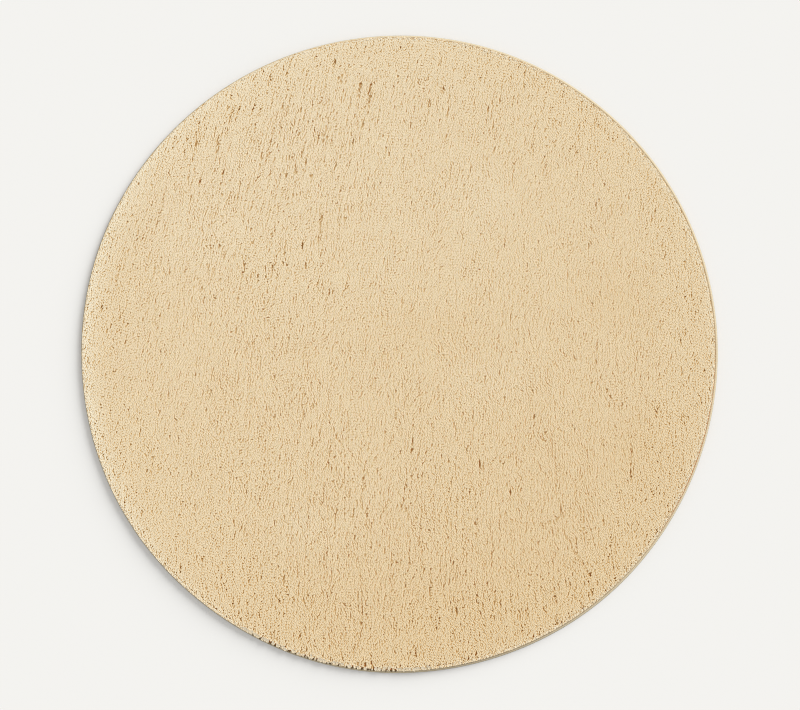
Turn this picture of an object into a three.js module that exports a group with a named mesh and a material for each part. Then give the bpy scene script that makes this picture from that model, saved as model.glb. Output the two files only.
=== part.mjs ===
// A round short pile rug, lying flat with its pile up: one round of tufted cloth, and the binding
// that finishes its rim. Millimetres, +Z up from the floor, +Y towards the far side of the rug.
import * as THREE from 'three';
import { mergeVertices } from 'three/addons/utils/BufferGeometryUtils.js';

// Driving dimensions
const RUG_RADIUS = 1000;
const BACKING_THICKNESS = 3;
const PILE_HEIGHT = 13;
const BINDING_WIDTH = 9;
const BINDING_HEIGHT = 6;
// The widest pile reaches this far past the binding.
const PILE_REACH = 1;
// The pile lies over to one side: its ends stand this far off their roots, towards this bearing.
const NAP_LEAN = 5;
const NAP_BEARING = THREE.MathUtils.degToRad(160);
// Sewn pieces stand this far apart.
const SEAM_GAP = 0.3;

// Fineness of the mesh: steps round the rim, and rings on the open face of the pile
const STEPS_ROUND = 144;
const FACE_RINGS = 13;

// Sizes worked out from the driving dimensions
const TOP = BACKING_THICKNESS + PILE_HEIGHT;
const BINDING_OUTER = RUG_RADIUS - PILE_REACH;
const BINDING_INNER = BINDING_OUTER - BINDING_WIDTH;
const CLOTH_RADIUS = BINDING_INNER - SEAM_GAP;
const PILE_RADIUS = RUG_RADIUS - NAP_LEAN;
const PILE_FOOT = BINDING_HEIGHT + SEAM_GAP;
// The pile has swung out to its full lean a third of the way up from its foot.
const LEAN_TOP = PILE_FOOT + (TOP - PILE_FOOT) / 3;

// How far the rim runs out of round: waves round the rim, their swing and where they crest.
const RIM_WAVES = [
  { waves: 2, swing: 0.44, crest: 180 },
  { waves: 3, swing: 0.82, crest: 130 },
  { waves: 6, swing: 0.51, crest: 127 },
  { waves: 7, swing: 0.53, crest: 28 },
  { waves: 8, swing: 0.38, crest: 261 },
];

// Soft swells of the pile's face: length of one wave, its bearing, its rise and its offset in turns.
const SWELLS = [
  { length: 620, bearing: 74, rise: 0.35, offset: 0.1 },
  { length: 410, bearing: 121, rise: 0.3, offset: 0.6 },
  { length: 290, bearing: 18, rise: 0.25, offset: 0.35 },
];

// Bands across the whole rug, left where it has been rolled: how far up they lie, half width, rise.
const ROLL_BANDS = [
  { up: 440, halfWidth: 60, rise: 0.4 },
  { up: 100, halfWidth: 45, rise: -0.5 },
  { up: -365, halfWidth: 55, rise: 0.5 },
];

// A soft crease in the pile near the rim, where the cloth was folded over.
const CREASE = { right: 552, up: -622, length: 180, halfWidth: 24, bearing: 121, depth: 1.8 };

const bell = (distance, halfWidth) => Math.exp(-((distance / halfWidth) ** 2));
const limit = (value) => Math.min(1, Math.max(0, value));

// How far the rim stands out of a true circle at a bearing.
function outOfRound(bearing) {
  let offset = 0;
  for (const { waves, swing, crest } of RIM_WAVES) {
    offset += swing * Math.cos(waves * bearing - THREE.MathUtils.degToRad(crest));
  }
  return offset;
}

// How far the pile's face stands above or below its even height at a place.
function relief(x, y) {
  let rise = 0;
  for (const { length, bearing, rise: height, offset } of SWELLS) {
    const turn = THREE.MathUtils.degToRad(bearing);
    const along = x * Math.cos(turn) + y * Math.sin(turn);
    rise += height * Math.sin(2 * Math.PI * (along / length + offset));
  }
  for (const { up, halfWidth, rise: height } of ROLL_BANDS) {
    rise += height * bell(y - up, halfWidth);
  }
  const turn = THREE.MathUtils.degToRad(CREASE.bearing);
  const right = x - CREASE.right;
  const up = y - CREASE.up;
  const along = right * Math.cos(turn) + up * Math.sin(turn);
  const across = up * Math.cos(turn) - right * Math.sin(turn);
  rise -= CREASE.depth * bell(along, CREASE.length / 2) * bell(across, CREASE.halfWidth);
  return rise;
}

// Turns a section (radius, height) into a closed solid round +Z.
function turned(section) {
  const points = section.map(([radius, height]) => new THREE.Vector2(radius, height));
  const lathe = new THREE.LatheGeometry(points, STEPS_ROUND);
  lathe.rotateX(Math.PI / 2);
  lathe.deleteAttribute('normal');
  lathe.deleteAttribute('uv');
  return mergeVertices(lathe, 1e-3);
}

// Moves every point of a solid by a function that changes it in place.
function reshape(geometry, move) {
  const places = geometry.getAttribute('position');
  const point = new THREE.Vector3();
  for (let i = 0; i < places.count; i += 1) {
    point.fromBufferAttribute(places, i);
    move(point);
    places.setXYZ(i, point.x, point.y, point.z);
  }
  geometry.computeVertexNormals();
  return geometry;
}

// Takes a point out of round with the rim, most at the rim and not at all in the middle.
function cutByHand(point) {
  const radius = Math.hypot(point.x, point.y);
  if (radius === 0) return;
  const offset = outOfRound(Math.atan2(point.y, point.x)) * (radius / RUG_RADIUS) ** 2;
  point.x *= 1 + offset / radius;
  point.y *= 1 + offset / radius;
}

// The tufted cloth: flat below, backing cut straight inside the binding, pile swelling out over it.
function rugField() {
  const overhang = PILE_RADIUS - CLOTH_RADIUS;
  const section = [
    [0, 0],
    [CLOTH_RADIUS, 0],
    [CLOTH_RADIUS, PILE_FOOT],
    [CLOTH_RADIUS + 0.6 * overhang, PILE_FOOT + 1.2],
    [PILE_RADIUS, LEAN_TOP + 0.4],
    [PILE_RADIUS - 0.6, TOP - 3.2],
    [PILE_RADIUS - 3.5, TOP - 1.1],
    [PILE_RADIUS - 9, TOP - 0.2],
    [PILE_RADIUS - 24, TOP],
  ];
  const faceRadius = PILE_RADIUS - 24;
  for (let ring = FACE_RINGS - 1; ring >= 0; ring -= 1) {
    section.push([(faceRadius * ring) / FACE_RINGS, TOP]);
  }
  return reshape(turned(section), (point) => {
    cutByHand(point);
    const leant = limit((point.z - PILE_FOOT) / (LEAN_TOP - PILE_FOOT));
    const raised = limit((point.z - LEAN_TOP) / (TOP - LEAN_TOP));
    const rise = raised * relief(point.x, point.y);
    point.x += leant * NAP_LEAN * Math.cos(NAP_BEARING);
    point.y += leant * NAP_LEAN * Math.sin(NAP_BEARING);
    point.z += rise;
  });
}

// The binding: a low rounded strip, flat where it lies on the floor and where it meets the backing.
function edgeBinding() {
  const section = [
    [BINDING_INNER, 0],
    [BINDING_OUTER - 2.6, 0],
    [BINDING_OUTER - 0.6, 1],
    [BINDING_OUTER, 0.45 * BINDING_HEIGHT],
    [BINDING_OUTER - 0.9, 0.78 * BINDING_HEIGHT],
    [BINDING_OUTER - 3.2, BINDING_HEIGHT],
    [BINDING_INNER + 2.6, BINDING_HEIGHT],
    [BINDING_INNER, 0.85 * BINDING_HEIGHT],
    [BINDING_INNER, 0],
  ];
  return reshape(turned(section), cutByHand);
}

const pileYarn = new THREE.MeshStandardMaterial({
  color: new THREE.Color().setRGB(0.882, 0.792, 0.639, THREE.SRGBColorSpace),
  roughness: 0.95,
  metalness: 0,
});
const bindingYarn = new THREE.MeshStandardMaterial({
  color: new THREE.Color().setRGB(0.8, 0.74, 0.62, THREE.SRGBColorSpace),
  roughness: 0.85,
  metalness: 0,
});

const pieces = [
  ['rug_field', rugField(), pileYarn],
  ['edge_binding', edgeBinding(), bindingYarn],
];

// The rug stands with the middle of its outline over the origin.
const rug = new THREE.Group();
for (const [name, geometry, material] of pieces) {
  const mesh = new THREE.Mesh(geometry, material);
  mesh.name = name;
  rug.add(mesh);
}
const middle = new THREE.Box3().setFromObject(rug).getCenter(new THREE.Vector3());
rug.position.set(-middle.x, -middle.y, 0);

const group = new THREE.Group();
group.add(rug);

export default group;
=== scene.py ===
"""Looks of a round short pile rug: the cloth, its pile tuft by tuft, and the bound edge.

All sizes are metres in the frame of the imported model: +Z up from the floor, +Y towards the far
side of the rug, the origin under the middle of its outline. Bearings run from +X towards +Y, in
degrees unless a line says radians.
"""

import logging
import math
from dataclasses import dataclass
from enum import Enum

import bpy
import numpy as np
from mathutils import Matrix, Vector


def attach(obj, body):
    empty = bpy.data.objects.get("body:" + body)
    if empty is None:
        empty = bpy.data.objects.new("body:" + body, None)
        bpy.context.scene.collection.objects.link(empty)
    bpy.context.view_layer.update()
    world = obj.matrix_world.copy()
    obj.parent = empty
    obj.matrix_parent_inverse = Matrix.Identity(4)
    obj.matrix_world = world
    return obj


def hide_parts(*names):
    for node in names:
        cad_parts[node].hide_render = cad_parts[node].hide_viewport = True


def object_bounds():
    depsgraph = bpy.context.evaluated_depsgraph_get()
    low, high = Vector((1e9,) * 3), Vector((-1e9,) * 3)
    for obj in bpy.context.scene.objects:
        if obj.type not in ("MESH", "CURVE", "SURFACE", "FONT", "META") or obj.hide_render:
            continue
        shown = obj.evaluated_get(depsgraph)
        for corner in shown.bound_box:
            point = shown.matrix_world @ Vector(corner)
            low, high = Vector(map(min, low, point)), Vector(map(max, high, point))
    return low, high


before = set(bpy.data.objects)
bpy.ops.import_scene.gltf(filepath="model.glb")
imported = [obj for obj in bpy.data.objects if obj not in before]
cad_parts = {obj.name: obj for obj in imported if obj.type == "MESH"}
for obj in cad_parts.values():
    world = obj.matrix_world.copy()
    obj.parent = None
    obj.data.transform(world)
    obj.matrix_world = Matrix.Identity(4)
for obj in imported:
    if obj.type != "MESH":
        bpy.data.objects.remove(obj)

CAD_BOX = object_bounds()
MM = 0.001
Array = np.ndarray
Color = tuple[float, float, float, float]
Span = tuple[float, float]
Shape = tuple[tuple[float, float], ...]

# The corners of a tuft's shoulder, as shares of its half length and half width.
SIX_SIDED: Shape = ((1.0, 0.0), (0.5, 1.0), (-0.5, 1.0), (-1.0, 0.0), (-0.5, -1.0), (0.5, -1.0))
THREE_SIDED: Shape = ((-1.0, 0.0), (0.308, -1.0), (0.308, 1.0))

# How far a tuft's tone and shades keep clear of the edges of its map, and the tones in use.
TONE_MARGIN = 0.03
SHADE_MARGIN = 0.02
TONE_ENDS: Span = (0.02, 0.98)

# Soft noise is drawn this far out from the origin.
NOISE_REACH = 1.6

# Things spread along the rim stray this far, as a share of the room that each has.
STRAY = 0.45

# What yarn and cloth share: no shine to speak of.
MATT = {"Roughness": 0.95, "Specular_IOR_Level": 0.1}
UP = np.array([0.0, 0.0, 1.0])

logging.basicConfig(level=logging.INFO, format="%(message)s")
log = logging.getLogger("rug")


class Slot(Enum):
    """The record's material slots."""

    PILE = "pile_yarn"
    BINDING = "binding_yarn"


class Node(Enum):
    """The solids that the pieces stand for."""

    FIELD = "rug_field"
    BINDING = "edge_binding"


@dataclass(frozen=True)
class RimWave:
    """One way in which the rim runs out of round."""

    waves: int
    swing: float
    crest: float


RIM_WAVES = (
    RimWave(1, 0.88 * MM, 86),
    RimWave(2, 0.44 * MM, 180),
    RimWave(3, 0.82 * MM, 130),
    RimWave(6, 0.51 * MM, 127),
    RimWave(7, 0.53 * MM, 28),
    RimWave(8, 0.38 * MM, 261),
)


def linear(value: float) -> float:
    """The linear share of one sRGB value given from 0 to 255."""
    value /= 255
    return value / 12.92 if value <= 0.04045 else ((value + 0.055) / 1.055) ** 2.4


def srgb(red: float, green: float, blue: float) -> Color:
    """The linear colour of an sRGB one given from 0 to 255."""
    return (linear(red), linear(green), linear(blue), 1.0)


def bell(distance: Array, half_width: float) -> Array:
    """A soft hump that is 1 at distance 0."""
    return np.exp(-((distance / half_width) ** 2))


def out_of_round(bearing: Array) -> Array:
    """How far the rim stands out of a true circle at a bearing in radians."""
    return sum(w.swing * np.cos(w.waves * bearing - math.radians(w.crest)) for w in RIM_WAVES)


def smooth_noise(x: Array, y: Array, size: float, seed: int) -> Array:
    """Seeded soft noise over the plane.

    Args:
        x: Places along X.
        y: Places along Y.
        size: The distance between its random values.
        seed: Which noise it is.

    Returns:
        A value from -1 to 1 for each place.
    """
    reach = int(NOISE_REACH / size) + 4
    table = np.random.default_rng(seed).uniform(-1, 1, (reach * 2, reach * 2))
    u, v = x / size + reach, y / size + reach
    i, j = np.floor(u).astype(int), np.floor(v).astype(int)
    fu, fv = u - i, v - j
    fu, fv = fu * fu * (3 - 2 * fu), fv * fv * (3 - 2 * fv)
    i, j = i % (reach * 2 - 1), j % (reach * 2 - 1)
    low = table[i, j] * (1 - fu) + table[i + 1, j] * fu
    high = table[i, j + 1] * (1 - fu) + table[i + 1, j + 1] * fu
    return low * (1 - fv) + high * fv


def clear_selection() -> None:
    """Deselects every object."""
    bpy.ops.object.select_all(action="DESELECT")


def named(name: str) -> bpy.types.Object:
    """Names the object just added and its mesh.

    Args:
        name: Their name.

    Returns:
        The object.
    """
    made = bpy.context.active_object
    made.name = made.data.name = name
    return made


def mesh_object(name: str, points: Array, triangles: Array) -> bpy.types.Object:
    """A flat shaded mesh object from arrays.

    Args:
        name: The object's name.
        points: One row for each vertex.
        triangles: Vertex numbers, with a row for each triangle.

    Returns:
        The linked object.
    """
    mesh = bpy.data.meshes.new(name)
    mesh.vertices.add(len(points))
    mesh.vertices.foreach_set("co", points.astype(np.float32).ravel())
    mesh.loops.add(triangles.size)
    mesh.loops.foreach_set("vertex_index", triangles.astype(np.int32).ravel())
    mesh.polygons.add(len(triangles))
    mesh.polygons.foreach_set("loop_start", np.arange(0, triangles.size, 3, dtype=np.int32))
    mesh.polygons.foreach_set("loop_total", np.full(len(triangles), 3, np.int32))
    mesh.polygons.foreach_set("use_smooth", np.zeros(len(triangles), bool))
    mesh.update(calc_edges=True)
    made = bpy.data.objects.new(name, mesh)
    bpy.context.scene.collection.objects.link(made)
    return made


class Graph:
    """A material's node graph, with short ways to add and join nodes."""

    def __init__(self, name: str) -> None:
        """Starts a material with a Principled shader.

        Args:
            name: The material's name.
        """
        self.material = bpy.data.materials.new(name)
        self.material.use_nodes = True
        self.tree = self.material.node_tree
        self.shader = self.tree.nodes["Principled BSDF"]

    def add(self, kind: str, **settings: object) -> bpy.types.Node:
        """Adds a node.

        Args:
            kind: Its type.
            **settings: Its settings, apart from its sockets.

        Returns:
            The node.
        """
        node = self.tree.nodes.new(kind)
        for key, value in settings.items():
            setattr(node, key, value)
        return node

    def join(self, source: bpy.types.NodeSocket, target: bpy.types.NodeSocket) -> None:
        """Links two sockets."""
        self.tree.links.new(source, target)

    def set(self, **values: object) -> None:
        """Sets values on the shader's own sockets, with _ for a space in their names."""
        for key, value in values.items():
            self.shader.inputs[key.replace("_", " ")].default_value = value

    def colored(self, color: bpy.types.NodeSocket) -> None:
        """Gives the shader its colour."""
        self.join(color, self.shader.inputs["Base Color"])

    def place(self, kind: str) -> bpy.types.NodeSocket:
        """The coordinates of this kind."""
        return self.add("ShaderNodeTexCoord").outputs[kind]

    def parts(self, vector: bpy.types.NodeSocket) -> bpy.types.NodeOutputs:
        """Splits a vector.

        Args:
            vector: Its socket.

        Returns:
            The sockets of its X, Y and Z.
        """
        node = self.add("ShaderNodeSeparateXYZ")
        self.join(vector, node.inputs[0])
        return node.outputs

    def multiplied(
        self, one: bpy.types.NodeSocket, other: bpy.types.NodeSocket
    ) -> bpy.types.NodeSocket:
        """Multiplies two colours.

        Args:
            one: The socket of the one.
            other: The socket of the other.

        Returns:
            The socket of their product.
        """
        node = self.add("ShaderNodeMix", data_type="RGBA", blend_type="MULTIPLY")
        node.inputs["Factor"].default_value = 1.0
        self.join(one, node.inputs["A"])
        self.join(other, node.inputs["B"])
        return node.outputs["Result"]

    def bump(self, height: bpy.types.NodeSocket, strength: float, distance: float) -> None:
        """Adds fine relief to the shader's normal.

        Args:
            height: The socket that the relief follows.
            strength: How much of it shows, from 0 to 1.
            distance: How high it stands.
        """
        node = self.add("ShaderNodeBump")
        node.inputs["Strength"].default_value = strength
        node.inputs["Distance"].default_value = distance
        self.join(height, node.inputs["Height"])
        self.join(node.outputs["Normal"], self.shader.inputs["Normal"])

    def ramp(
        self, source: bpy.types.NodeSocket, *stops: tuple[float, Color]
    ) -> bpy.types.NodeSocket:
        """Turns a value into a colour.

        Args:
            source: The socket of the value.
            *stops: Values from 0 to 1 in rising order, each with its colour.

        Returns:
            The socket of the colour.
        """
        node = self.add("ShaderNodeValToRGB")
        elements = node.color_ramp.elements
        while len(elements) < len(stops):
            elements.new(0.5)
        for element, (place, color) in zip(elements, stops):
            element.position = place
            element.color = color
        self.join(source, node.inputs["Fac"])
        return node.outputs["Color"]


@dataclass(frozen=True)
class PileFinish:
    """Soft matt wool with fine fibres along each tuft: cream at the tip, gold at the root, partly its
    own colour and partly painted shade.
    """

    name: str = "pile_wool"
    root: Color = srgb(162, 112, 56)
    middle: Color = srgb(182, 143, 88)
    shoulder: Color = srgb(210, 185, 140)
    tip: Color = srgb(225, 215, 191)
    deep: Color = srgb(231, 208, 171)
    pale: Color = srgb(252, 252, 252)
    middle_at: float = 0.5
    shoulder_at: float = 0.622
    tip_at: float = 0.757
    fibres_across: float = 420.0
    fibres_along: float = 2.0
    fibre_relief: float = 0.6 * MM
    fuzz: float = 0.15
    fuzz_spread: float = 0.6

    def material(self) -> bpy.types.Material:
        """Builds the material on the tufts' own map: u is a tuft's tone, v runs from root to tip.

        Returns:
            The material.
        """
        g = Graph(self.name)
        place = g.place("UV")
        parts = g.parts(place)
        # Root to tip: darker and more golden lower down, partly the yarn's colour and partly painted
        # shade among the tufts.
        along = g.ramp(
            parts["Y"], (0.0, self.root), (self.middle_at, self.middle),
            (self.shoulder_at, self.shoulder), (self.tip_at, self.tip),
        )
        tone = g.ramp(parts["X"], (0.0, self.deep), (1.0, self.pale))
        g.colored(g.multiplied(along, tone))
        stretch = g.add("ShaderNodeMapping")
        stretch.inputs["Scale"].default_value = (self.fibres_across, self.fibres_along, 1.0)
        g.join(place, stretch.inputs["Vector"])
        fibres = g.add("ShaderNodeTexNoise", noise_dimensions="2D")
        fibres.inputs["Scale"].default_value = 1.0
        fibres.inputs["Detail"].default_value = 2.0
        g.join(stretch.outputs["Vector"], fibres.inputs["Vector"])
        g.bump(fibres.outputs["Fac"], strength=0.5, distance=self.fibre_relief)
        g.set(Sheen_Weight=self.fuzz, Sheen_Roughness=self.fuzz_spread, **MATT)
        return g.material


@dataclass(frozen=True)
class PlainCloth:
    """A plain matt cloth, a little uneven in tone."""

    name: str
    color: Color
    darker: Color
    grain: float = 600.0
    darker_to: float = 0.35
    color_from: float = 0.6

    def material(self) -> bpy.types.Material:
        """Builds the material on Object coordinates.

        Returns:
            The material.
        """
        g = Graph(self.name)
        noise = g.add("ShaderNodeTexNoise")
        noise.inputs["Scale"].default_value = self.grain
        noise.inputs["Detail"].default_value = 2.0
        g.join(g.place("Object"), noise.inputs["Vector"])
        stops = ((self.darker_to, self.darker), (self.color_from, self.color))
        g.colored(g.ramp(noise.outputs["Fac"], *stops))
        g.set(**MATT)
        return g.material


@dataclass(frozen=True)
class BindingYarn:
    """Matt yarn, cream on top, with painted shade darkening it towards the floor."""

    top: Color = srgb(200, 186, 158)
    # The low colour is painted shade on the flanks of the strip.
    low: Color = srgb(144, 135, 115)
    height: float = 5.6 * MM
    painted_shade_to: float = 0.3
    top_from: float = 0.95

    def material(self) -> bpy.types.Material:
        """Builds the material on Object coordinates.

        Returns:
            The material.
        """
        g = Graph("binding_yarn")
        level = g.add("ShaderNodeMapRange")
        level.inputs["From Max"].default_value = self.height
        g.join(g.parts(g.place("Object"))["Z"], level.inputs["Value"])
        stops = ((self.painted_shade_to, self.low), (self.top_from, self.top))
        g.colored(g.ramp(level.outputs["Result"], *stops))
        g.set(**MATT)
        return g.material


@dataclass(frozen=True)
class WovenBack:
    """Plain woven canvas, as it shows on the underside."""

    thread: Color = srgb(214, 200, 170)
    gap: Color = srgb(168, 150, 116)
    gap_to: float = 0.1
    thread_from: float = 0.6
    pitch: float = 4.0 * MM
    waviness: float = 0.6
    wave_detail: float = 0.5
    relief: float = 0.8 * MM

    def material(self) -> bpy.types.Material:
        """Builds the material on Object coordinates.

        Returns:
            The material.
        """
        g = Graph("woven_back")
        place = g.place("Object")
        bands = []
        for way in ("X", "Y"):
            wave = g.add("ShaderNodeTexWave", bands_direction=way, wave_profile="SIN")
            # At a scale of 1, the node's waves are tau / 20 long.
            wave.inputs["Scale"].default_value = math.tau / 20 / self.pitch
            wave.inputs["Distortion"].default_value = self.waviness
            wave.inputs["Detail Scale"].default_value = self.wave_detail
            g.join(place, wave.inputs["Vector"])
            bands.append(wave.outputs["Color"])
        both = g.multiplied(*bands)
        g.colored(g.ramp(both, (self.gap_to, self.gap), (self.thread_from, self.thread)))
        g.bump(both, strength=0.6, distance=self.relief)
        g.set(**MATT)
        return g.material


@dataclass(frozen=True)
class Outline:
    """A rim seen from above: a circle that reaches further on one side and runs out of round."""

    radius: float
    reach: float = 0.0
    bearing: float = 170.0
    evenness: float = 1.6

    def at(self, bearing: Array) -> Array:
        """Its distance from the origin at a bearing in radians."""
        toward = np.cos(bearing - math.radians(self.bearing))
        return self.radius + self.reach * np.tanh(self.evenness * toward) + out_of_round(bearing)


PILE_EDGE = Outline(993.6 * MM, 3.5 * MM)
CLOTH_EDGE = Outline(989.4 * MM)


@dataclass(frozen=True)
class Patch:
    """A soft place where the pile differs: its middle, its half width and height, and by how much."""

    right: float
    up: float
    wide: float
    high: float
    amount: float

    def over(self, x: Array, y: Array) -> Array:
        """Its amount at each place."""
        away = ((x - self.right) / self.wide) ** 2 + ((y - self.up) / self.high) ** 2
        return self.amount * np.exp(-away)


@dataclass(frozen=True)
class Parting:
    """A line along which the pile has opened: its middle, length, bearing and depth from 0 to 1."""

    right: float
    up: float
    length: float
    bearing: float
    depth: float = 1.0
    half_width: float = 2.0 * MM
    wander: float = 2.5 * MM
    wander_length: float = 7.0 * MM
    wander_offset: float = 40.0
    bridge_share: float = 0.25
    bridge_length: float = 3.1 * MM
    bridge_offset: float = 90.0

    def over(self, x: Array, y: Array) -> Array:
        """Lays it over the rug, with a few bridges of standing pile across it.

        Args:
            x: Places along X.
            y: Places along Y.

        Returns:
            How deep it is at each place.
        """
        turn = math.radians(self.bearing)
        right, up = x - self.right, y - self.up
        along = right * math.cos(turn) + up * math.sin(turn)
        across = up * math.cos(turn) - right * math.sin(turn)
        swing = np.sin(along / self.wander_length + self.wander_offset * self.right)
        bridge = np.sin(along / self.bridge_length + self.bridge_offset * self.up)
        bridged = 1 - self.bridge_share + self.bridge_share * bridge
        width = bell(across + self.wander * swing, self.half_width)
        return self.depth * bridged * width * (abs(along) < self.length / 2)


def spread_out(rng: np.random.Generator, count: int, first: float, last: float) -> Array:
    """Spreads things along a stretch of the rim, a little unevenly.

    Args:
        rng: Where the unevenness comes from.
        count: How many there are.
        first: The bearing at which the stretch begins.
        last: The bearing at which it ends.

    Returns:
        Their bearings in radians.
    """
    share = (np.arange(count) + rng.uniform(-STRAY, STRAY, count)) / count
    return np.radians(first + (last - first) * share)


@dataclass(frozen=True)
class Notches:
    """Short gaps in the rim of the pile, between its clumps, on the side that the nap points to."""

    count: int = 32
    first: float = 242.0
    last: float = 270.0
    shallow: float = 3.0 * MM
    deep: float = 12.0 * MM
    narrow: float = 2.0 * MM
    wide: float = 5.6 * MM
    bluntness: float = 1.4
    seed: int = 31

    def sizes(self) -> tuple[Array, Array, Array]:
        """Draws the notches.

        Returns:
            The middle bearing in radians, the depth and the half width of each.
        """
        rng = np.random.default_rng(self.seed)
        middles = spread_out(rng, self.count, self.first, self.last)
        depths = rng.uniform(self.shallow, self.deep, self.count)
        return middles, depths, rng.uniform(self.narrow, self.wide, self.count)

    def depth_at(self, bearing: Array) -> Array:
        """How far they set the rim back.

        Args:
            bearing: Bearings in radians.

        Returns:
            The depth at each bearing, 0 between the notches.
        """
        back = np.zeros_like(bearing)
        for middle, depth, half_width in zip(*self.sizes()):
            away = ((bearing - middle + math.pi) % math.tau - math.pi) * PILE_EDGE.radius
            share = np.clip(self.bluntness - (away / half_width) ** 2, 0, 1)
            back = np.maximum(back, depth * share)
        return back


# Paler, greyer wool for the rim. Its dark root colour is painted shade: it darkens the rim tufts
# towards their feet and the tufts at the bottom of the notches.
RIM_FINISH = PileFinish(
    name="rim_wool",
    deep=srgb(236, 226, 204),
    root=srgb(112, 90, 58),
    middle=srgb(170, 152, 120),
    shoulder=srgb(206, 190, 160),
    tip=srgb(221, 209, 186),
)
NOTCHES = Notches()


@dataclass
class Tufts:
    """Many tufts as arrays with a row for each: a foot, the corners of its shoulder, and a tip.

    Besides the places, each has a tone from 0 to 1, and its map's v at the foot, shoulder and tip.
    """

    foot: Array
    shoulder: Array
    tip: Array
    tone: Array
    shades: Array

    def arrays(self) -> tuple[Array, ...]:
        """Its arrays, in the order in which Tufts takes them."""
        return (self.foot, self.shoulder, self.tip, self.tone, self.shades)

    def picked(self, which: Array) -> "Tufts":
        """Only the tufts that a mask picks."""
        return Tufts(*(rows[which] for rows in self.arrays()))

    def mesh(self, name: str) -> bpy.types.Object:
        """One mesh of closed tufts.

        Args:
            name: The object's name.

        Returns:
            The object. On its map, u is a tuft's tone and v runs from foot to tip.
        """
        count, sides = self.shoulder.shape[:2]
        points = np.concatenate([self.foot[:, None], self.shoulder, self.tip[:, None]], 1)
        corners, levels = [], []
        for side in range(sides):
            after = (side + 1) % sides
            corners += [(1 + side, 1 + after, sides + 1), (1 + after, 1 + side, 0)]
            levels += [(1, 1, 2), (1, 1, 0)]
        first = (np.arange(count) * (sides + 2))[:, None, None]
        triangles = (first + np.array(corners)[None]).reshape(-1, 3)
        made = mesh_object(name, points.reshape(-1, 3), triangles)
        v = self.shades[:, np.array(levels)]
        u = np.broadcast_to(self.tone[:, None, None], v.shape)
        layer = made.data.uv_layers.new(name="OFBake", do_init=False)
        layer.uv.foreach_set("vector", np.stack([u, v], -1).astype(np.float32).ravel())
        return made


def joined(lots: list[Tufts]) -> Tufts:
    """Several lots of tufts as one."""
    return Tufts(*(np.concatenate(rows) for rows in zip(*(lot.arrays() for lot in lots))))


def shoulder_of(middle: Array, along: Array, across: Array, shape: Shape) -> Array:
    """Sets out the shoulder of each tuft.

    Args:
        middle: Its middle.
        along: Its half length, as a vector.
        across: Its half width, as a vector.
        shape: Its corners, as shares of the two.

    Returns:
        The corners, with a row for each tuft.
    """
    fore, aside = np.array(shape).T[:, None, :, None]
    return middle[:, None] + fore * along[:, None] + aside * across[:, None]


def beside(vectors: Array) -> Array:
    """The directions a quarter turn to the left of these, seen from above."""
    return np.column_stack([-vectors[:, 1], vectors[:, 0]])


def raised(places: Array, heights: Array | float) -> Array:
    """Places on the plane, set at these heights."""
    return np.column_stack([places, np.broadcast_to(heights, len(places))])


def out_and_round(bearing: Array) -> tuple[Array, Array]:
    """The level directions outward and along the rim, at bearings in radians."""
    out = np.column_stack([np.cos(bearing), np.sin(bearing)])
    return raised(out, 0.0), raised(beside(out), 0.0)


def on_map(value: Array, margin: float) -> Array:
    """Values from 0 to 1, brought clear of both ends by this margin."""
    return margin + (1 - 2 * margin) * value


def tone_on_map(tone: Array) -> Array:
    """Tones as the tufts' map holds them."""
    return on_map(np.clip(tone, *TONE_ENDS), TONE_MARGIN)


def shaded_alike(shades: tuple[float, float, float], count: int) -> Array:
    """The same shades at the foot, shoulder and tip of each of these tufts."""
    return np.array(shades)[None] * np.ones((count, 1))


def carried_on(
    rng: np.random.Generator, shape: tuple[int, int], carried: float, apart: float = 0.0
) -> Array:
    """Random values that carry on along each row.

    Args:
        rng: Where they come from.
        shape: Rows and stitches.
        carried: How much of a value the next stitch keeps, from 0 to 1.
        apart: How much a row differs from the rows beside it, from 0 to 1.

    Returns:
        Values with a spread of about 1.
    """
    value = rng.normal(0, 1, shape)
    fresh = math.sqrt(1 - carried**2)
    for stitch in range(1, shape[1]):
        value[:, stitch] = carried * value[:, stitch - 1] + fresh * value[:, stitch]
    next_rows = (np.roll(value, 1, 0) + np.roll(value, -1, 0)) / 2
    return (value - apart * next_rows) / math.sqrt(1 + apart**2 / 2)


@dataclass(frozen=True)
class Opening:
    """How tufts give way where the pile opens.

    They do so from a threshold on, the sooner the looser the pile is. Chance is carried along each
    row and sets it apart from its neighbours. The last three say how low and thin they get, and how
    much painted shade darkens them.
    """

    threshold: float
    softness: float
    follows: float
    carried: float
    apart: float
    sinking: float
    thinning: float
    painted_shade: float

    def share(self, rng: np.random.Generator, loose: Array) -> Array:
        """Draws how far each tuft gives way.

        Args:
            rng: Where chance comes from.
            loose: How loose the pile is, by rows and stitches.

        Returns:
            A value from 0 to 1 for each tuft.
        """
        chance = carried_on(rng, loose.shape, self.carried, self.apart)
        return np.clip((chance - self.threshold + self.follows * (loose - 1)) / self.softness, 0, 1)


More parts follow.
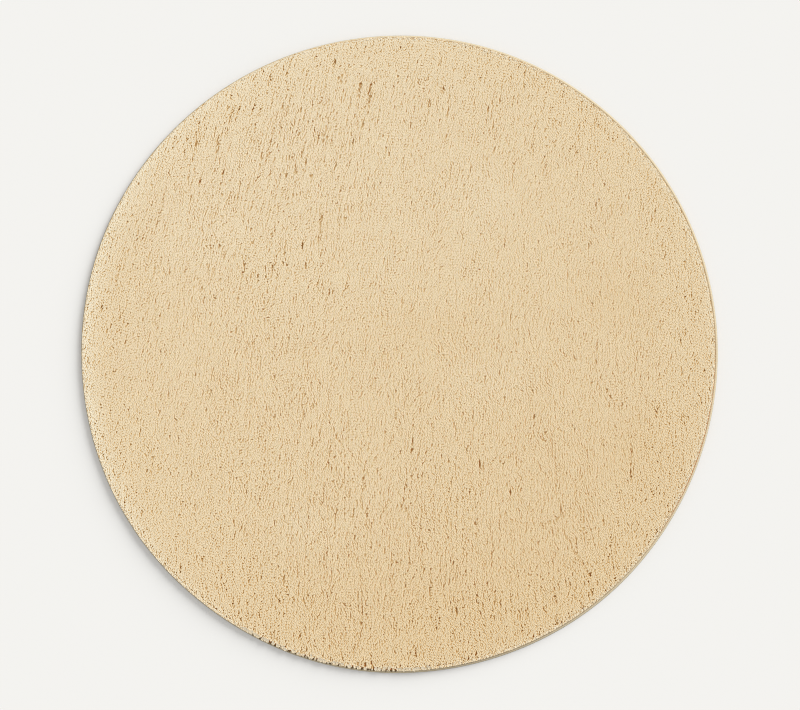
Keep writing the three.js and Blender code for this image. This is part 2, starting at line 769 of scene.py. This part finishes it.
@dataclass
class Field:
    """The rows of tufts over the whole rug.

    Each soft noise is given by the distance between its random values and its seed.
    """

    # The rows run up the rug. They lean, fan out, bow and wander a little.
    rows_reach: float = 1.3
    row_gap: float = 2.6 * MM
    row_slip: float = 0.5
    row_lean: float = 0.09
    row_fan: float = 0.14
    row_bow: float = 0.06
    row_wander: float = 5.0 * MM
    wander_noise: tuple[float, int] = (0.12, 3)
    stitches_reach: float = 1.02
    stitch_gap: float = 8.5 * MM

    # One tuft, from the height of its foot to the height of its top.
    foot: float = 8.0 * MM
    foot_margin: float = 1.5 * MM
    top: float = 15.4 * MM
    dome: float = 0.95 * MM
    nap: float = 7.24 * MM
    nap_change: float = 0.2
    nap_noise: tuple[float, int] = (0.05, 13)
    lean_share: float = 0.15
    half_width: float = 3.9 * MM
    half_length: float = 18.2 * MM
    forward: float = 0.161
    smallest: float = 4.0 * MM**2
    # The shoulder sits lower on the map than the tip: painted shade darkens each tuft towards its
    # edges.
    shoulder_shade: float = 0.44

    # The nap points down the rug, turns slowly to the right and upward, and swirls.
    bearing: float = 262.0
    turn_right: float = 10.0
    turn_up: float = -8.0
    swirl: float = 0.38
    swirl_noise: tuple[float, int] = (0.05, 11)
    twist: float = 0.45
    sway: float = 1.2 * MM
    sway_carried: float = 0.904

    # Single tufts sink into pits, and runs of them into cracks; painted shade darkens them.
    looseness: float = 0.62
    loosest: Span = (0.1, 2.2)
    pits: Opening = Opening(
        threshold=1.16, softness=0.4, follows=0.75, carried=0.60, apart=0.7,
        sinking=2.4 * MM, thinning=0.6, painted_shade=0.5,
    )
    cracks: Opening = Opening(
        threshold=2.1, softness=0.6, follows=0.85, carried=0.83, apart=0.95,
        sinking=2.6 * MM, thinning=0.35, painted_shade=0.7,
    )
    crack_push: float = 0.39 * MM
    crack_calm: float = 0.555
    crack_room: float = 0.2

    # Near the rim the tufts stand whole, slimmer and paler, most of all on the left.
    rim_gap: float = 0.6 * MM
    rim_unevenness: float = 0.8 * MM
    rim_near: float = 30.0 * MM
    whole_from: float = 6.0 * MM
    rim_slimming: float = 0.5
    slim_to: float = 8.0 * MM
    tone: float = 0.5
    tone_spread: float = 0.03
    rim_tone: float = 0.30
    rim_tone_to: float = 16.0 * MM
    side_tone: float = 0.32
    side_tone_to: float = 45.0 * MM
    side_sharpness: int = 3
    seed: int = 7

    openness: tuple[Patch, ...] = ()
    combing: tuple[Patch, ...] = ()
    painted_shading: tuple[Patch, ...] = ()
    partings: tuple[Parting, ...] = ()

    def loose(self, x: Array, y: Array) -> Array:
        """How loose the pile is at each place, about 1 where it is combed open."""
        return np.clip(self.looseness + sum(p.over(x, y) for p in self.openness), *self.loosest)

    def grain(self, x: Array, y: Array) -> Array:
        """Where the nap points at each place, in radians."""
        slow = np.radians(self.bearing + self.turn_right * x + self.turn_up * y)
        return slow + self.swirl * smooth_noise(x, y, *self.swirl_noise)

    def bent(self, across: Array, along: Array) -> Array:
        """Bends the rows.

        Args:
            across: Where each tuft would be along X, if its row were straight.
            along: Where it is along Y.

        Returns:
            Where it is along X.
        """
        x = across + self.row_lean * along - self.row_fan * across * along + self.row_bow * along**2
        return x + self.row_wander * smooth_noise(across, along, *self.wander_noise)

    def toned(self, x: Array, y: Array, inset: Array, rng: np.random.Generator) -> Array:
        """Draws how pale each tuft is.

        Args:
            x: Where it is along X.
            y: Where it is along Y.
            inset: How far it is inside the rim.
            rng: Where small differences come from.

        Returns:
            A tone for each tuft, from about 0 to 1.
        """
        side = np.maximum(-np.cos(np.arctan2(y, x)), 0) ** self.side_sharpness
        tone = self.tone + self.tone_spread * rng.normal(0, 1, len(x))
        # Painted light and shade in patches over the rug.
        tone = tone + sum(p.over(x, y) for p in self.painted_shading)
        tone = tone + self.rim_tone * bell(inset, self.rim_tone_to)
        return tone + self.side_tone * bell(inset, self.side_tone_to) * side

    def large_enough(self, shoulder: Array) -> Array:
        """Which tufts haven't been squeezed away at the rim, by the plan of their shoulders."""
        first, second = shoulder[:, 1] - shoulder[:, 0], shoulder[:, 2] - shoulder[:, 0]
        return first[:, 0] * second[:, 1] - first[:, 1] * second[:, 0] > self.smallest

    def tufts(self) -> Tufts:
        """Sets out the rows, opens them where the pile is loose and leans every tuft with the nap.

        Returns:
            The tufts inside the rim.
        """
        rng = np.random.default_rng(self.seed)
        rows = np.arange(-self.rows_reach, self.rows_reach, self.row_gap)
        stitches = np.arange(-self.stitches_reach, self.stitches_reach, self.stitch_gap)
        across, along = np.meshgrid(rows, stitches, indexing="ij")
        along = along + rng.uniform(0, 1, len(rows))[:, None] * self.stitch_gap
        across = across + rng.normal(0, self.row_slip, across.shape) * self.row_gap
        x = self.bent(across, along)
        loose = self.loose(x, along)
        pit = self.pits.share(rng, loose)
        crack = self.cracks.share(rng, loose + sum(p.over(x, along) for p in self.combing))
        swayed = carried_on(rng, x.shape, self.sway_carried)
        for parting in self.partings:
            crack = np.maximum(crack, parting.over(x, along))
        to_left, to_right = np.roll(crack, 1, 0), np.roll(crack, -1, 0)
        by_crack = np.clip(to_left + to_right, 0, 1) * (1 - crack)
        x = x + self.crack_push * (to_left - to_right) * (1 - crack)
        inset = PILE_EDGE.at(np.arctan2(along, x)) - np.hypot(x, along)
        values = np.stack([x, along, inset, loose, pit, crack, by_crack, swayed])
        x, y, inset, loose, pit, crack, by_crack, swayed = values[:, inset > self.rim_gap]
        whole = 1 - np.exp(-inset / self.whole_from)
        crack = crack * whole
        pit = pit * (1 - crack) * whole
        calm = 1 - self.crack_calm * by_crack
        grain = self.grain(x, y) + rng.normal(0, self.twist, len(x)) * calm
        ahead = np.column_stack([np.cos(grain), np.sin(grain)])
        lean = self.nap * (1 + self.nap_change * smooth_noise(x, y, *self.nap_noise))[:, None]
        girth = (1 - self.pits.thinning * pit) * (1 - self.cracks.thinning * crack)
        girth = girth * (1 - self.crack_room * by_crack)
        slim = 1 - self.rim_slimming * np.exp(-inset / self.slim_to)
        length = (self.half_length * girth)[:, None]
        tip = np.column_stack([x, y]) + beside(ahead) * (self.sway * swayed * loose)[:, None]
        tip = self.drawn_out(self.kept_inside(tip), ahead)
        foot = tip - ahead * lean
        limit = CLOTH_EDGE.radius - self.foot_margin
        foot = foot * np.minimum(1, limit / np.hypot(*foot.T))[:, None]
        shoulder = shoulder_of(
            tip - ahead * (self.lean_share * lean + self.forward * length), ahead * length,
            beside(ahead) * (self.half_width * girth * slim)[:, None], THREE_SIDED,
        )
        shoulder = self.kept_inside(shoulder)
        top = self.top - self.pits.sinking * pit - self.cracks.sinking * crack
        # Tufts sunk in pits and cracks get painted shade: their map runs darker, towards the gold of
        # the root.
        unshaded = 1 - self.pits.painted_shade * pit - self.cracks.painted_shade * crack
        shades = np.array([0.0, self.shoulder_shade, 1.0])[None] * unshaded[:, None]
        low = np.broadcast_to((top - self.dome)[:, None, None], (*shoulder.shape[:2], 1))
        return Tufts(
            foot=raised(foot, self.foot),
            shoulder=np.concatenate([shoulder, low], 2),
            tip=raised(tip, top),
            tone=tone_on_map(self.toned(x, y, inset, rng)),
            shades=on_map(shades, SHADE_MARGIN),
        ).picked(self.large_enough(shoulder))

    def kept_inside(self, places: Array) -> Array:
        """Brings places beyond the rim back to it, a little unevenly.

        Args:
            places: Places on the plane, in an array of any shape with x and y last.

        Returns:
            The places, none of them beyond the rim.
        """
        away = np.hypot(places[..., 0], places[..., 1])
        near = away > PILE_EDGE.radius - self.rim_near
        limit = np.full(away.shape, np.inf)
        limit[near] = self.limit_at(np.arctan2(places[..., 1], places[..., 0])[near])
        return places * np.minimum(1, limit / np.maximum(away, MM))[..., None]

    def limit_at(self, bearing: Array) -> Array:
        """How far out tufts may reach, each a little differently.

        Args:
            bearing: Their bearings in radians.

        Returns:
            A distance from the origin for each.
        """
        rng = np.random.default_rng(self.seed + 1)
        uneven = np.abs(rng.normal(0, self.rim_unevenness, bearing.shape))
        return PILE_EDGE.at(bearing) - NOTCHES.depth_at(bearing) - self.rim_gap - uneven

    def drawn_out(self, tip: Array, ahead: Array) -> Array:
        """Draws the last tuft of each row out to the rim.

        Args:
            tip: The tips, seen from above.
            ahead: Where the tufts point.

        Returns:
            The tips.
        """
        limit = self.limit_at(np.arctan2(tip[:, 1], tip[:, 0]))
        toward = (tip * ahead).sum(1)
        room = np.sqrt(np.maximum(limit**2 - (tip**2).sum(1) + toward**2, 0)) - toward
        last = (room > 0) & (room < self.stitch_gap) & (toward > 0)
        return tip + ahead * (room * last)[:, None]


@dataclass(frozen=True)
class Ring:
    """One round of tufts at the rim: how far in, how high, how steep, and how wide and long each is."""

    inset: float
    height: float
    rise: float
    half_width: float
    half_length: float


@dataclass
class Rim:
    """The rounds of tufts that close the pile off at its edge."""

    rings: tuple[Ring, ...] = (
        Ring(5.6 * MM, 14.8 * MM, 90, 3.6 * MM, 3.4 * MM),
        Ring(3.4 * MM, 14.4 * MM, 88, 3.4 * MM, 3.0 * MM),
        Ring(1.9 * MM, 13.6 * MM, 84, 3.2 * MM, 2.4 * MM),
        Ring(1.7 * MM, 8.6 * MM, 80, 3.2 * MM, 2.4 * MM),
    )
    pitch: float = 4.8 * MM
    stray: float = 0.3
    length: float = 7.0 * MM
    crown: float = 0.9 * MM
    lowest: float = 0.5 * MM
    unevenness: float = 0.7 * MM
    rise_spread: float = 4.0
    tone: float = 0.6
    tone_spread: float = 0.12
    shades: tuple[float, float, float] = (0.45, 0.70, 0.86)
    seed: int = 19

    def tufts(self) -> list[Tufts]:
        """Sets the rounds one outside the other, each tuft pointing up and outward at its own slope."""
        rng = np.random.default_rng(self.seed)
        return [self.round_of(ring, rng) for ring in self.rings]

    def round_of(self, ring: Ring, rng: np.random.Generator) -> Tufts:
        """Makes one round, which leaves the notches free.

        Args:
            ring: Where the round is, and how large its tufts are.
            rng: Where its unevenness comes from.

        Returns:
            The tufts.
        """
        count = int(math.tau * PILE_EDGE.radius / self.pitch)
        strayed = np.arange(count) + rng.uniform(-self.stray, self.stray, count)
        bearing = strayed * math.tau / count
        bearing = bearing[NOTCHES.depth_at(bearing) < ring.inset]
        count = len(bearing)
        out, round_it = out_and_round(bearing)
        slope = np.radians(ring.rise + rng.normal(0, self.rise_spread, count))[:, None]
        point = np.cos(slope) * out + np.sin(slope) * UP
        outward = np.sin(slope) * out - np.cos(slope) * UP
        radius = PILE_EDGE.at(bearing) - ring.inset - np.abs(rng.normal(0, self.unevenness, count))
        height = ring.height + rng.normal(0, self.unevenness, count)
        tip = out * radius[:, None] + UP * height[:, None]
        shoulder = shoulder_of(
            tip - point * self.crown, outward * ring.half_length, round_it * ring.half_width,
            SIX_SIDED,
        )
        foot = tip - point * self.length
        foot[:, 2] = np.maximum(foot[:, 2], self.lowest)
        return Tufts(
            foot=foot,
            shoulder=shoulder,
            tip=tip,
            tone=tone_on_map(self.tone + self.tone_spread * rng.normal(0, 1, count)),
            shades=shaded_alike(self.shades, count),
        )


@dataclass
class LooseEnds:
    """Single longer tufts that hang over the rim on the side that the nap points to."""

    count: int = 74
    first: float = 240.0
    last: float = 276.0
    notch_limit: float = 2.0 * MM
    beyond: Span = (-2.6 * MM, 2.8 * MM)
    heights: Span = (12.0 * MM, 14.5 * MM)
    lengths: Span = (12.0 * MM, 17.0 * MM)
    half_widths: Span = (3.0 * MM, 5.2 * MM)
    crest: float = 16.3 * MM
    crest_at: float = 0.5
    crest_reach: float = 0.4
    droop: float = 0.8 * MM
    foot_drop: float = 1.5 * MM
    tone: float = 0.8
    tone_spread: float = 0.1
    shades: tuple[float, float, float] = (0.3, 0.70, 0.86)
    seed: int = 23

    def tufts(self) -> Tufts:
        """Spreads them along the rim, between its notches.

        Returns:
            The tufts.
        """
        rng = np.random.default_rng(self.seed)
        bearing = spread_out(rng, self.count, self.first, self.last)
        bearing = bearing[NOTCHES.depth_at(bearing) < self.notch_limit]
        count = len(bearing)
        out, round_it = out_and_round(bearing)
        far = rng.uniform(*self.beyond, count)
        height = rng.uniform(*self.heights, count)[:, None]
        tip = out * (PILE_EDGE.at(bearing) + far)[:, None] + UP * height
        back = rng.uniform(*self.lengths, count)[:, None]
        wide = rng.uniform(*self.half_widths, count)[:, None]
        shoulder = shoulder_of(
            tip - out * self.crest_at * back + UP * (self.crest - height),
            out * self.crest_reach * back - UP * self.droop, round_it * wide, SIX_SIDED,
        )
        return Tufts(
            foot=tip - out * back - UP * self.foot_drop,
            shoulder=shoulder,
            tip=tip,
            tone=tone_on_map(self.tone + self.tone_spread * rng.normal(0, 1, count)),
            shades=shaded_alike(self.shades, count),
        )


@dataclass
class NotchShade:
    """Short dark tufts at the bottom of each notch: painted shade where the notch lies in shadow."""

    beyond: float = 2.4 * MM
    back: float = 14.0 * MM
    height: float = 8.4 * MM
    crest: float = 1.0 * MM
    crest_at: float = 0.45
    crest_reach: float = 0.42
    foot_drop: float = 1.5 * MM
    tone: float = 0.5
    # Shades near the dark root colour: painted shade.
    shades: tuple[float, float, float] = (0.05, 0.12, 0.2)

    def tufts(self) -> Tufts:
        """Lays one tuft along each notch, over the binding.

        Returns:
            The tufts.
        """
        bearing, _, half_width = NOTCHES.sizes()
        out, round_it = out_and_round(bearing)
        tip = out * (PILE_EDGE.at(bearing) + self.beyond)[:, None] + UP * self.height
        shoulder = shoulder_of(
            tip - out * self.crest_at * self.back + UP * self.crest,
            out * self.crest_reach * self.back, round_it * half_width[:, None], SIX_SIDED,
        )
        return Tufts(
            foot=tip - out * self.back - UP * self.foot_drop,
            shoulder=shoulder,
            tip=tip,
            tone=np.full(len(bearing), self.tone),
            shades=shaded_alike(self.shades, len(bearing)),
        )


@dataclass
class Pile:
    """The whole pile: the field, cut into sectors, and its closed rim with the loose ends."""

    field: Field
    rim: Rim
    ends: LooseEnds
    notch_shade: NotchShade
    sectors: int = 5

    def build_field(self) -> list[bpy.types.Object]:
        """Makes a piece for each sector of the field.

        Returns:
            The pieces.
        """
        tufts = self.field.tufts()
        bearing = np.arctan2(tufts.tip[:, 1], tufts.tip[:, 0])
        sector = (bearing / math.tau % 1 * self.sectors).astype(int)
        return [tufts.picked(sector == n).mesh(f"pile_{n + 1}") for n in range(self.sectors)]

    def build_rim(self) -> bpy.types.Object:
        """Makes the piece of the rim."""
        return joined([*self.rim.tufts(), self.ends.tufts(), self.notch_shade.tufts()]).mesh("pile_rim")


@dataclass
class Cloth:
    """The backing, with the dense foot of the pile on it."""

    radius: float = 989.4 * MM
    height: float = 12.0 * MM
    steps: int = 180

    def build(
        self, foot: bpy.types.Material, edge: bpy.types.Material, back: bpy.types.Material
    ) -> bpy.types.Object:
        """A flat round, its underside woven.

        Args:
            foot: The finish of the top.
            edge: The finish of the side.
            back: The finish of the underside.

        Returns:
            The object.
        """
        clear_selection()
        bpy.ops.mesh.primitive_cylinder_add(
            vertices=self.steps, radius=self.radius, depth=self.height, location=(0, 0, self.height / 2)
        )
        made = named("cloth")
        bpy.ops.object.transform_apply(location=True, rotation=True, scale=True)
        for finish in (foot, edge, back):
            made.data.materials.append(finish)
        # The top looks up and takes finish 0, the side 1, and the underside looks down and takes 2.
        for face in made.data.polygons:
            face.material_index = 1 - round(face.normal.z)
        return made


@dataclass
class Binding:
    """The strip round the rim, overcast with close wraps of yarn."""

    inner: float = 990 * MM
    outer: float = 999.3 * MM
    height: float = 5.6 * MM
    wraps: int = 1150
    steps_a_wrap: int = 3
    sides: int = 8
    fullness: float = 0.35 * MM
    slant: float = 1.2
    seam: float = 0.02 * MM

    def build(self) -> bpy.types.Object:
        """Builds a flat grid and rolls it into a closed ring.

        Returns:
            The object.
        """
        clear_selection()
        bpy.ops.mesh.primitive_grid_add(
            x_subdivisions=self.wraps * self.steps_a_wrap, y_subdivisions=self.sides, size=2
        )
        made = named("binding")
        self.roll(made.data)
        bpy.ops.object.mode_set(mode="EDIT")
        bpy.ops.mesh.select_all(action="SELECT")
        bpy.ops.mesh.remove_doubles(threshold=self.seam)
        bpy.ops.mesh.normals_make_consistent(inside=False)
        bpy.ops.object.mode_set(mode="OBJECT")
        bpy.ops.object.shade_smooth()
        return made

    def roll(self, mesh: bpy.types.Mesh) -> None:
        """Rolls a grid that reaches from -1 to 1, with a ridge for every wrap.

        Args:
            mesh: The grid. Its X comes to run round the rim, its Y round the strip.
        """
        half = (self.outer - self.inner) / 2
        co = np.empty(len(mesh.vertices) * 3, np.float32)
        mesh.vertices.foreach_get("co", co)
        bearing, turn = co.reshape(-1, 3)[:, :2].T.astype(float) * math.pi
        ridge = np.cos(self.wraps * bearing + self.slant * np.cos(turn))
        girth = 1 + self.fullness / half * ridge
        radius = self.inner + half + half * girth * np.cos(turn) + out_of_round(bearing)
        tall = np.maximum(self.height / 2 * (1 + girth * np.sin(turn)), 0)
        places = np.column_stack([radius * np.cos(bearing), radius * np.sin(bearing), tall])
        mesh.vertices.foreach_set("co", places.astype(np.float32).ravel())


@dataclass
class Studio:
    """A plain pale floor, one broad soft key light, an even fill, and the camera overhead."""

    frame_width: int = 800
    frame_height: int = 710
    rug_pixels: float = 636.6
    rug_middle: tuple[float, float] = (399.48, 354.28)
    distance: float = 6.0
    sensor: float = 36.0
    sun_bearing: float = 44.0
    sun_height: float = 21.5
    sun_spread: float = 38.0
    sun_strength: float = 4.14
    fill: float = 0.73
    crispness: float = 0.85
    floor: Color = srgb(224, 223, 220)
    floor_size: float = 40.0
    floor_roughness: float = 0.9

    def build(self) -> None:
        """Adds the floor, the lights and the camera."""
        self.lay_floor()
        self.hang_lights()
        self.set_camera()

    def lay_floor(self) -> None:
        """Lays the floor under the rug."""
        clear_selection()
        bpy.ops.mesh.primitive_plane_add(size=self.floor_size)
        floor = bpy.context.active_object
        floor.name = "floor"
        g = Graph("pale_floor")
        g.set(Base_Color=self.floor, Roughness=self.floor_roughness, Specular_IOR_Level=0.0)
        floor.data.materials.append(g.material)

    def hang_lights(self) -> None:
        """Adds the key light, low and broad, and the fill from all round."""
        sun = bpy.data.lights.new("key", "SUN")
        sun.energy = self.sun_strength
        sun.angle = math.radians(self.sun_spread)
        light = bpy.data.objects.new("key", sun)
        tilt = math.radians(90 - self.sun_height)
        light.rotation_euler = (0, tilt, math.radians(self.sun_bearing))
        bpy.context.scene.collection.objects.link(light)
        world = bpy.data.worlds.new("fill")
        world.use_nodes = True
        back = world.node_tree.nodes["Background"]
        back.inputs["Color"].default_value = (1, 1, 1, 1)
        back.inputs["Strength"].default_value = self.fill
        bpy.context.scene.world = world

    def set_camera(self) -> None:
        """Hangs the camera overhead, where the rug has its size and place in the frame."""
        width = (CAD_BOX[1][0] - CAD_BOX[0][0] + CAD_BOX[1][1] - CAD_BOX[0][1]) / 2
        per_pixel = width / self.rug_pixels
        shown = per_pixel * self.frame_width
        data = bpy.data.cameras.new("overhead")
        data.sensor_width = self.sensor
        data.lens = self.sensor * self.distance / shown
        camera = bpy.data.objects.new("overhead", data)
        right = (self.frame_width / 2 - self.rug_middle[0]) * per_pixel
        up = (self.rug_middle[1] - self.frame_height / 2) * per_pixel
        camera.location = (right, up, self.distance)
        bpy.context.scene.collection.objects.link(camera)
        bpy.context.scene.camera = camera
        bpy.context.scene.view_settings.view_transform = "Standard"
        bpy.context.scene.cycles.filter_width = self.crispness


OPENNESS = (
    Patch(-0.31, 0.70, 0.42, 0.26, 0.78),
    Patch(-0.48, 0.32, 0.30, 0.26, 0.36),
    Patch(0.40, 0.30, 0.42, 0.36, -0.22),
    Patch(-0.81, -0.27, 0.20, 0.34, -0.40),
    Patch(0.0, -0.72, 0.55, 0.24, 0.34),
    Patch(-0.83, 0.16, 0.16, 0.16, 0.45),
    Patch(-0.42, -0.12, 0.30, 0.22, 0.32),
    Patch(-0.20, -0.44, 0.22, 0.18, 0.22),
    Patch(0.45, 0.80, 0.34, 0.20, 0.36),
    Patch(-0.62, -0.58, 0.22, 0.25, -0.30),
)
COMBING = (
    Patch(0.0, -0.72, 0.60, 0.30, -0.35),
)
# Painted light and shade: the pile paler towards the upper left, darker towards the lower right and the
# bottom, with small lighter and darker patches where the brushed nap catches the light differently.
PAINTED_SHADING = (
    Patch(-0.45, 0.75, 0.70, 0.60, 0.16),
    Patch(0.60, -0.55, 0.60, 0.55, -0.10),
    Patch(0.0, -0.85, 0.70, 0.25, -0.12),
    Patch(0.253, 0.483, 0.10, 0.08, 0.07),
    Patch(0.284, -0.082, 0.12, 0.07, 0.07),
    Patch(-0.28, -0.55, 0.10, 0.06, 0.07),
    Patch(-0.626, 0.358, 0.10, 0.10, 0.06),
    Patch(0.065, 0.075, 0.16, 0.09, -0.07),
    Patch(0.692, 0.17, 0.12, 0.10, -0.08),
    Patch(0.755, -0.30, 0.10, 0.12, -0.08),
)
PARTINGS = (
    Parting(-0.633, 0.688, 0.082, 80),
    Parting(-0.570, 0.650, 0.079, 84),
    Parting(-0.180, 0.868, 0.047, 78),
    Parting(-0.124, 0.836, 0.069, 82),
    Parting(-0.092, 0.811, 0.079, 86),
    Parting(0.096, 0.786, 0.031, 85),
    Parting(0.128, 0.915, 0.031, 88),
    Parting(-0.250, 0.390, 0.094, 84),
    Parting(-0.130, -0.901, 0.056, 88),
    Parting(-0.177, -0.947, 0.016, 86),
    Parting(-0.133, -0.970, 0.010, 86),
    Parting(-0.086, -0.972, 0.028, 92),
    Parting(0.551, -0.621, 0.176, -59, depth=0.32, half_width=2.6 * MM),
    Parting(0.620, -0.716, 0.014, -70),
    Parting(0.601, -0.750, 0.012, -80),
)


def dress(piece: bpy.types.Object, node: Node) -> None:
    """Hangs a piece under the root, hides the solid that it replaces, and reports it.

    Args:
        piece: The piece.
        node: The solid that it stands for.
    """
    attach(piece, "root")
    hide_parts(node.value)
    log.info("%s: %d faces", piece.name, len(piece.data.polygons))


def main() -> None:
    """Builds the rug and the studio round it."""
    Studio().build()
    wool = PileFinish().material()
    field = Field(openness=OPENNESS, combing=COMBING, painted_shading=PAINTED_SHADING, partings=PARTINGS)
    pile = Pile(field, Rim(), LooseEnds(), NotchShade())
    tufts = pile.build_field()
    for piece in tufts:
        piece.data.materials.append(wool)
    tufts.append(pile.build_rim())
    tufts[-1].data.materials.append(RIM_FINISH.material())
    for piece in tufts:
        dress(piece, Node.FIELD)
    backing = Cloth()
    cloth = backing.build(
        # The cloth's golden brown top is partly the colour of the roots and partly painted shade in the
        # gaps between tufts.
        PlainCloth("pile_foot_shade", srgb(184, 116, 60), srgb(170, 106, 54)).material(),
        PlainCloth("cloth_edge", srgb(192, 162, 114), srgb(180, 150, 104)).material(),
        WovenBack().material(),
    )
    dress(cloth, Node.FIELD)
    binding = Binding().build()
    binding.data.materials.append(BindingYarn().material())
    dress(binding, Node.BINDING)


if __name__ == "__main__":
    main()
